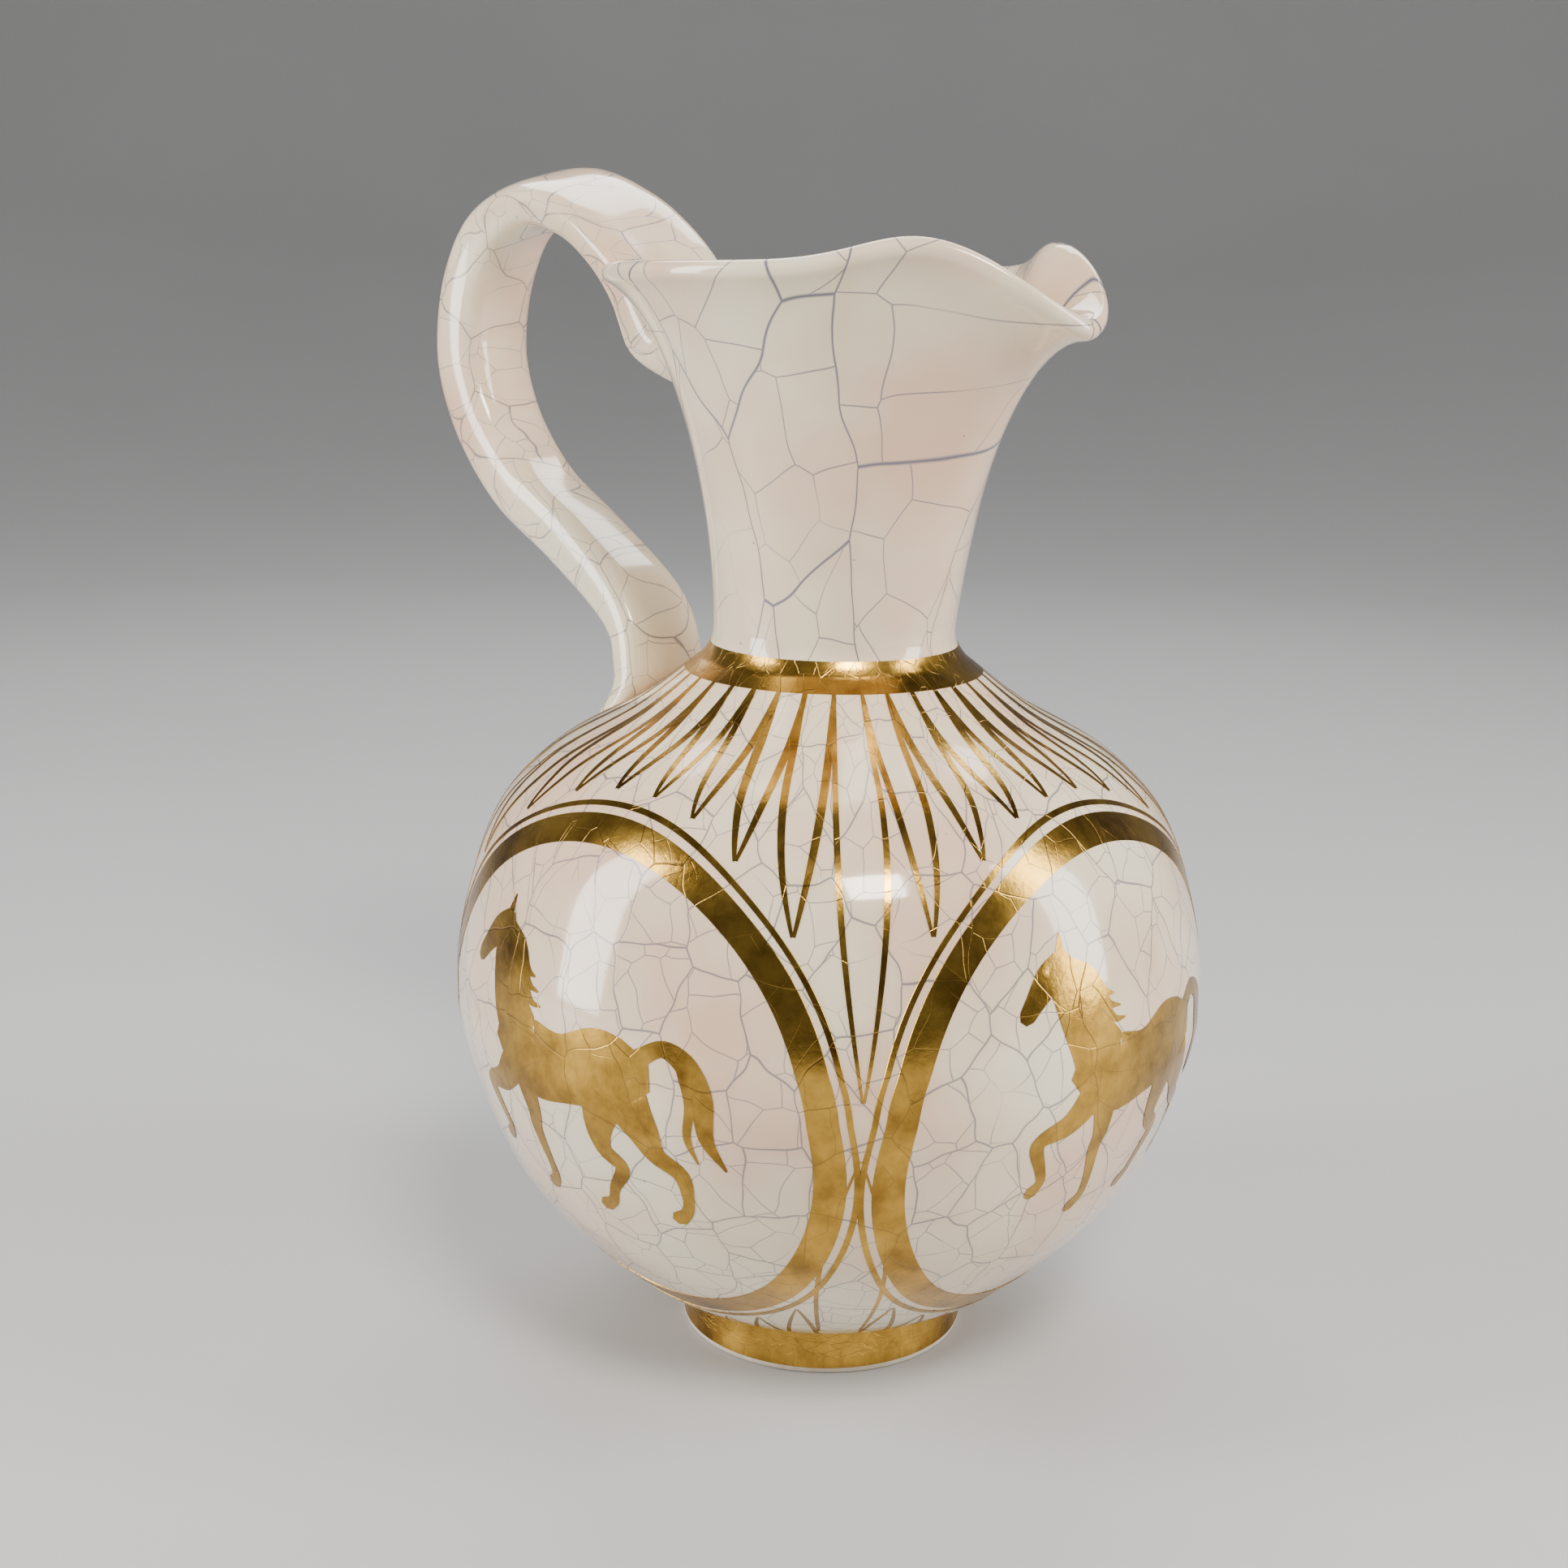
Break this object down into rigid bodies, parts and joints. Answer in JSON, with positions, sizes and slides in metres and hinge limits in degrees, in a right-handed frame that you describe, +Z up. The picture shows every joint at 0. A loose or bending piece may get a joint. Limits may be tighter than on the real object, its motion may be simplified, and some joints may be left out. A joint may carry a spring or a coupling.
{
  "type": "ceramic pitcher",
  "caption": "Footed pitcher with a globe body, flared neck, pinched pouring lip, strap handle and gold medallion rings, for pouring or display.",
  "frame": {"origin": "on the axis of the globe, in the plane that the foot ring stands on", "axes": "+Z up along the axis of the globe, +X the way it pours, the handle on -X"},
  "size_m": [0.1994, 0.16, 0.2537],
  "materials": {
    "glazed_ceramic": "glossy ivory crackle glaze",
    "gold_lustre": "fired gold lustre, slightly mottled"
  },
  "bodies": {
    "root": {"foot_ring": "glazed_ceramic", "globe": "glazed_ceramic", "neck": "glazed_ceramic", "handle": "glazed_ceramic", "gilt_neck_band": "gold_lustre", "gilt_foot_band": "gold_lustre", "medallion_rings": "gold_lustre"}
  },
  "joints": []
}
